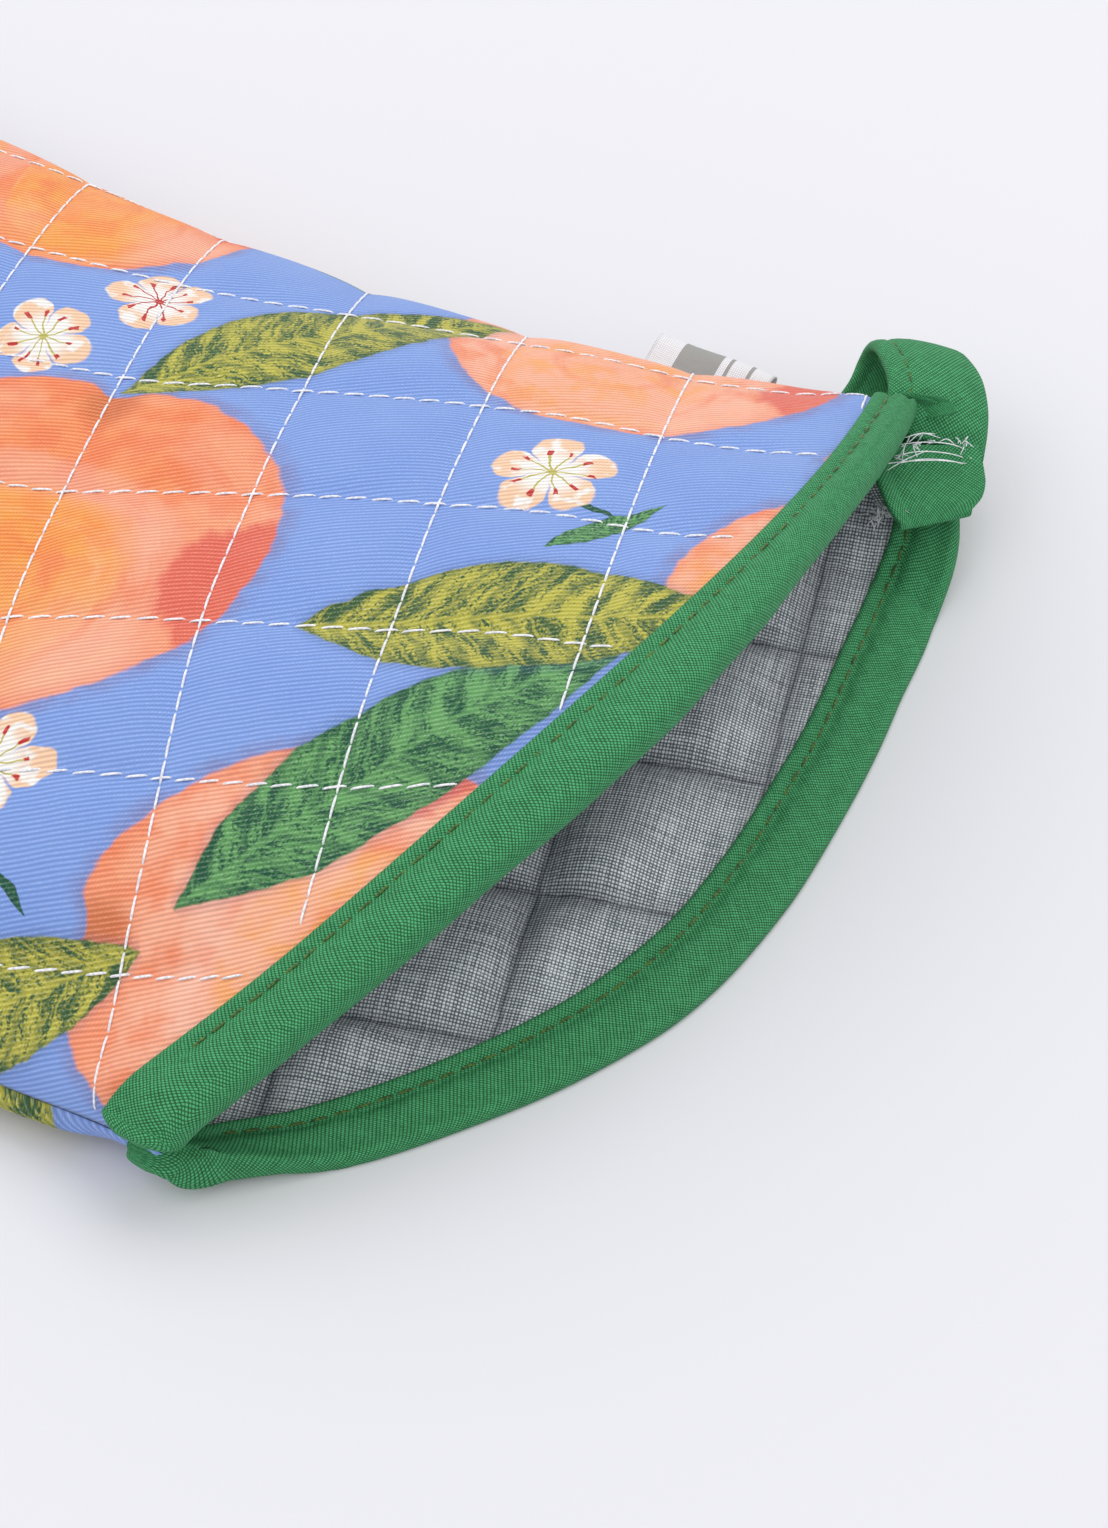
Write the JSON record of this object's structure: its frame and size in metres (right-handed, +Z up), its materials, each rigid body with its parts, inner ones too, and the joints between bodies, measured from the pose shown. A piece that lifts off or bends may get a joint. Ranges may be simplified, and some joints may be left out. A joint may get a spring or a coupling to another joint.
{
  "type": "oven mitt",
  "caption": "Quilted oven mitt with a thumb, bound open cuff, reflective woven lining, wadding and a hanging loop of tape at the cuff's corner.",
  "frame": {"origin": "on the underside of the back panel, where the mitt rests, midway between the cuff's two corners", "axes": "+Y along the mitt from the cuff to the fingertips, +Z up out of the front panel, +X across the mitt towards the hanging loop"},
  "size_m": [0.235, 0.3313, 0.0423],
  "materials": {
    "printed_cotton": "printed cotton twill, matt",
    "wadding": "loose polyester and cotton wadding",
    "woven_lining": "plain-weave heat-reflecting cloth, slight sheen",
    "green_tape": "plain-weave cotton bias tape, matt",
    "green_thread": "sewing thread",
    "white_thread": "overlocked cloth edge and thread",
    "label_tape": "woven label tape, satin"
  },
  "bodies": {
    "palm": {"front_shell_palm": "printed_cotton", "front_wadding_palm": "wadding", "front_lining_palm": "woven_lining", "back_shell_palm": "printed_cotton", "back_wadding_palm": "wadding", "back_lining_palm": "woven_lining", "front_binding": "green_tape", "back_binding": "green_tape", "front_topstitch": "green_thread", "back_topstitch": "green_thread", "seam_far": "white_thread", "seam_near": "white_thread", "seam_crotch": "white_thread", "loop_tail": "green_tape"},
    "fingers": {"front_shell_fingers": "printed_cotton", "front_wadding_fingers": "wadding", "front_lining_fingers": "woven_lining", "back_shell_fingers": "printed_cotton", "back_wadding_fingers": "wadding", "back_lining_fingers": "woven_lining", "seam_fingers": "white_thread"},
    "thumb": {"front_shell_thumb": "printed_cotton", "front_wadding_thumb": "wadding", "front_lining_thumb": "woven_lining", "back_shell_thumb": "printed_cotton", "back_wadding_thumb": "wadding", "back_lining_thumb": "woven_lining", "seam_thumb": "white_thread"},
    "loop": {"hanging_loop": "green_tape"},
    "label": {"side_label": "label_tape"}
  },
  "joints": [
    {"name": "knuckle_crease", "type": "hinge", "parent": "palm", "child": "fingers", "pos_m": [0, 0.17, 0.009], "axis": [1, 0, 0], "range_deg": [-60, 60]},
    {"name": "thumb_crease", "type": "hinge", "parent": "palm", "child": "thumb", "pos_m": [-0.076, 0.111, 0.0065], "axis": [0.2009, 0.9796, 0], "range_deg": [-50, 50]},
    {"name": "loop_swing", "type": "hinge", "parent": "palm", "child": "loop", "pos_m": [0.07845, -0.0129, 0.0129], "axis": [0.1048, -0.8747, 0.4732], "range_deg": [-28, 30]},
    {"name": "label_flip", "type": "hinge", "parent": "palm", "child": "label", "pos_m": [0.0756, 0.013, 0.0096], "axis": [0, -1, 0], "range_deg": [-50, 50]}
  ]
}
